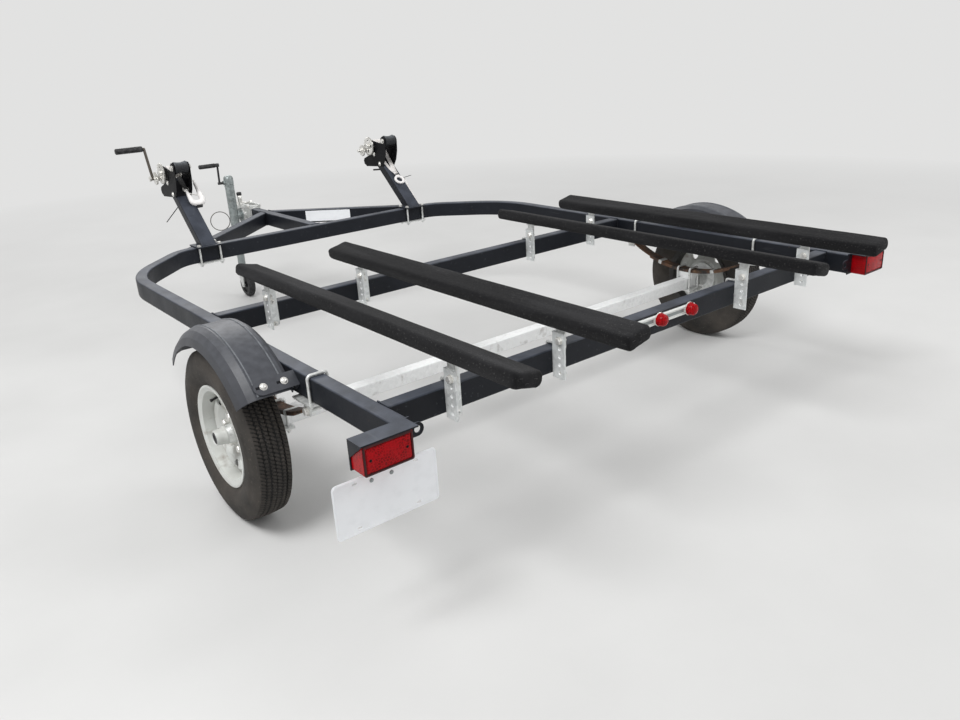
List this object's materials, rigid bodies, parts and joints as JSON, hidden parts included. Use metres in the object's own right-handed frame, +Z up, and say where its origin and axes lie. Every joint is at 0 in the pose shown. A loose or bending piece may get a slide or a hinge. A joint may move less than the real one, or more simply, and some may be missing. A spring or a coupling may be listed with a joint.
{
  "type": "boat trailer",
  "caption": "Trailer for two personal watercraft: bent tube frame with A-shaped tongue, carpeted bunks, leaning winch posts, single axle with fenders and a swing-up jack.",
  "frame": {"origin": "on the ground under the middle of the trailer's length and width", "axes": "+X to the trailer's right, +Y forward to the coupler, +Z up"},
  "size_m": [2.59, 3.78, 1.0174],
  "materials": {
    "frame_paint": "satin dark grey-blue paint, dusty",
    "winch_black": "satin black",
    "galvanised": "dull galvanised",
    "zinc": "zinc plated, dulled",
    "spring_steel": "rusty leaf edges",
    "carpet": "worn black carpet",
    "tyre": "dusty tread",
    "rim_white": "white enamel with road dirt",
    "fender_plastic": "satin moulded",
    "red_lens": "red lens",
    "amber_lens": "amber lens",
    "bright_strip": "bright",
    "plate_blank": "blank plate",
    "jack_tyre": "dusty rubber",
    "roller_rubber": "faded grey rubber",
    "webbing": "white polyester webbing"
  },
  "bodies": {
    "frame": {"axle": "galvanised", "axle_clamps": "galvanised", "bunk_brackets_mid": "galvanised", "bunk_brackets_rear": "galvanised", "bunk_left_inner": "carpet", "bunk_left_outer": "carpet", "bunk_right_inner": "carpet", "bunk_right_outer": "carpet", "bunk_swivels": "galvanised", "coupler": "galvanised", "coupler_latch": "zinc", "fender_arms": "frame_paint", "fender_left": "fender_plastic", "fender_right": "fender_plastic", "front_crossbar": "frame_paint", "hanger_u_bolts": "galvanised", "id_light_bar": "bright_strip", "id_lights": "red_lens", "jack_mount": "galvanised", "lamp_brackets": "frame_paint", "marker_lights": "amber_lens", "mid_crossmember": "frame_paint", "number_plate": "plate_blank", "plate_bracket": "frame_paint", "post_clamps": "galvanised", "rear_crossmember": "frame_paint", "side_rail_left": "frame_paint", "side_rail_right": "frame_paint", "spring_hangers": "galvanised", "spring_left": "spring_steel", "spring_right": "spring_steel", "tail_lamps": "red_lens", "tongue_centre": "frame_paint", "tongue_left": "frame_paint", "tongue_right": "frame_paint", "winch_frame_left": "zinc", "winch_frame_right": "zinc", "winch_heads": "winch_black", "winch_hooks": "zinc", "winch_post_left": "frame_paint", "winch_post_right": "frame_paint", "winch_strap": "webbing"},
    "wheel_left": {"tyre_left": "tyre", "rim_left": "rim_white", "hub_left": "galvanised"},
    "wheel_right": {"tyre_right": "tyre", "rim_right": "rim_white", "hub_right": "galvanised"},
    "bow_roller_left": {"bow_roller_left": "roller_rubber"},
    "bow_roller_right": {"bow_roller_right": "roller_rubber"},
    "jack": {"jack_tube": "galvanised", "jack_crank": "zinc", "jack_cable_loop": "galvanised"},
    "jack_leg": {"jack_leg": "galvanised"},
    "jack_caster": {"jack_caster": "galvanised"},
    "jack_wheel": {"jack_wheel": "jack_tyre"},
    "winch_drum_left": {"winch_drum_left": "zinc"},
    "winch_crank_left": {"winch_crank_left": "zinc"},
    "winch_drum_right": {"winch_drum_right": "zinc"},
    "winch_crank_right": {"winch_crank_right": "zinc"}
  },
  "joints": [
    {"name": "wheel_left_spin", "type": "hinge", "parent": "frame", "child": "wheel_left", "pos_m": [-1.215, -0.875, 0.285], "axis": [1, 0, 0], "continuous": true},
    {"name": "wheel_right_spin", "type": "hinge", "parent": "frame", "child": "wheel_right", "pos_m": [1.215, -0.875, 0.285], "axis": [1, 0, 0], "continuous": true},
    {"name": "jack_swing", "type": "hinge", "parent": "frame", "child": "jack", "pos_m": [-0.11, 1.655, 0.5049], "axis": [1, 0, 0], "range_deg": [0, 90]},
    {"name": "jack_wind", "type": "slide", "parent": "jack", "child": "jack_leg", "axis": [0, 0, 1], "range_m": [-0.04, 0.21]},
    {"name": "jack_caster_swivel", "type": "hinge", "parent": "jack_leg", "child": "jack_caster", "pos_m": [-0.11, 1.655, 0.167], "axis": [0, 0, 1], "continuous": true},
    {"name": "jack_wheel_spin", "type": "hinge", "parent": "jack_caster", "child": "jack_wheel", "pos_m": [-0.11, 1.61, 0.076], "axis": [1, 0, 0], "continuous": true},
    {"name": "winch_drum_left_turn", "type": "hinge", "parent": "frame", "child": "winch_drum_left", "pos_m": [-0.622, 1.0965, 0.87985], "axis": [1, 0, 0], "continuous": true},
    {"name": "winch_crank_left_turn", "type": "hinge", "parent": "frame", "child": "winch_crank_left", "pos_m": [-0.622, 1.15268, 0.85245], "axis": [1, 0, 0], "continuous": true},
    {"name": "bow_roller_left_turn", "type": "hinge", "parent": "frame", "child": "bow_roller_left", "pos_m": [-0.622, 0.95735, 0.91334], "axis": [1, 0, 0], "continuous": true},
    {"name": "winch_drum_right_turn", "type": "hinge", "parent": "frame", "child": "winch_drum_right", "pos_m": [0.622, 1.0965, 0.87985], "axis": [1, 0, 0], "continuous": true},
    {"name": "winch_crank_right_turn", "type": "hinge", "parent": "frame", "child": "winch_crank_right", "pos_m": [0.622, 1.15268, 0.85245], "axis": [1, 0, 0], "continuous": true},
    {"name": "bow_roller_right_turn", "type": "hinge", "parent": "frame", "child": "bow_roller_right", "pos_m": [0.622, 0.95735, 0.91334], "axis": [1, 0, 0], "continuous": true}
  ],
  "couplings": [
    {"joint": "winch_crank_left_turn", "follows": "winch_drum_left_turn", "ratio": -4},
    {"joint": "winch_crank_right_turn", "follows": "winch_drum_right_turn", "ratio": -4}
  ]
}
